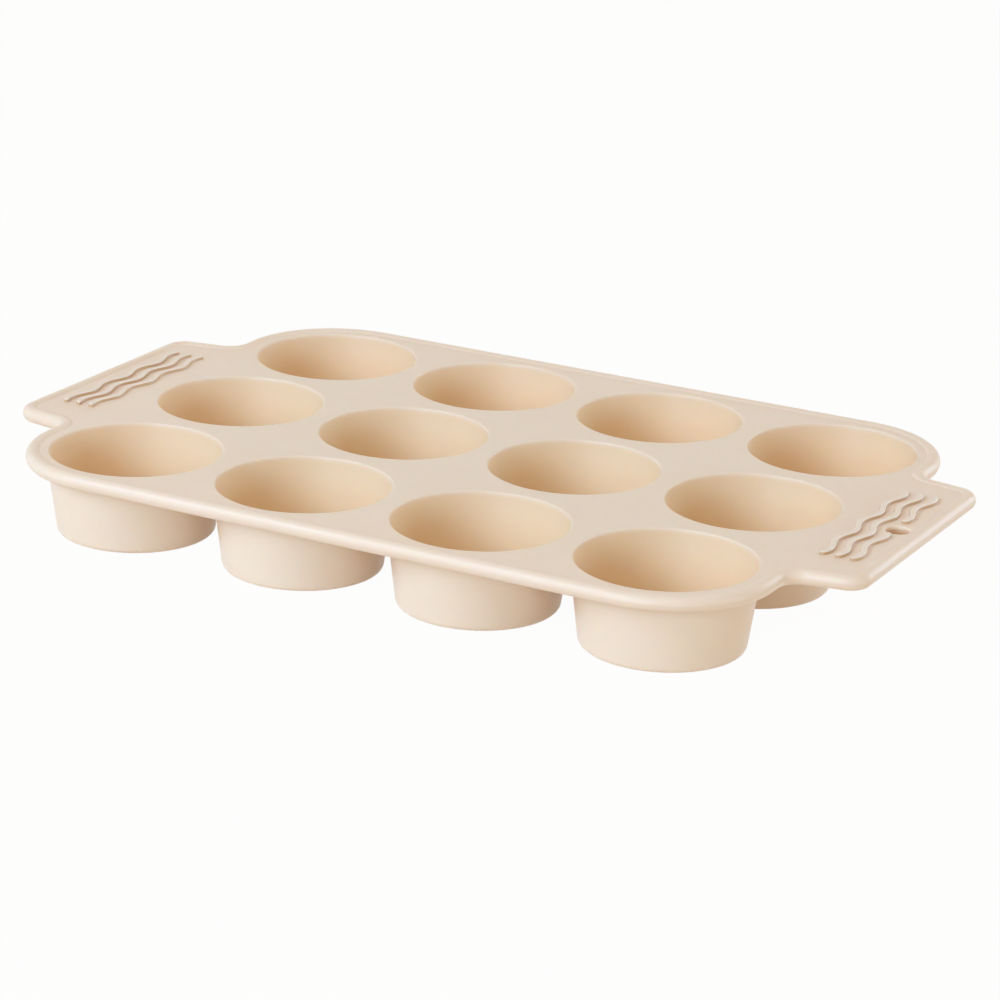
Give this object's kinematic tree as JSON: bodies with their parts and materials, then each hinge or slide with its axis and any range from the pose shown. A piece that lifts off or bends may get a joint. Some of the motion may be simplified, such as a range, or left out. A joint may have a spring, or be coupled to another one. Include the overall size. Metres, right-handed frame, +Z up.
{
  "type": "muffin pan",
  "caption": "Rectangular silicone muffin pan: a flat deck with rows of tapered round cups, a rounded wire-stiffened rim and a ribbed grip tab at each end, one with a hanging hole.",
  "frame": {"origin": "centre of the pan on the plane that the undersides of the cups stand on", "axes": "+X along the pan's long side towards the handle with the hanging hole, +Y across it, +Z up out of the cups' mouths"},
  "size_m": [0.3744, 0.242, 0.0345],
  "materials": {
    "silicone": "matt satin beige silicone",
    "steel": "plain drawn steel wire"
  },
  "bodies": {
    "root": {"tray": "silicone", "cup_front_1": "silicone", "cup_front_2": "silicone", "cup_front_3": "silicone", "cup_front_4": "silicone", "cup_middle_1": "silicone", "cup_middle_2": "silicone", "cup_middle_3": "silicone", "cup_middle_4": "silicone", "cup_back_1": "silicone", "cup_back_2": "silicone", "cup_back_3": "silicone", "cup_back_4": "silicone", "rim_wire": "steel"}
  },
  "joints": []
}
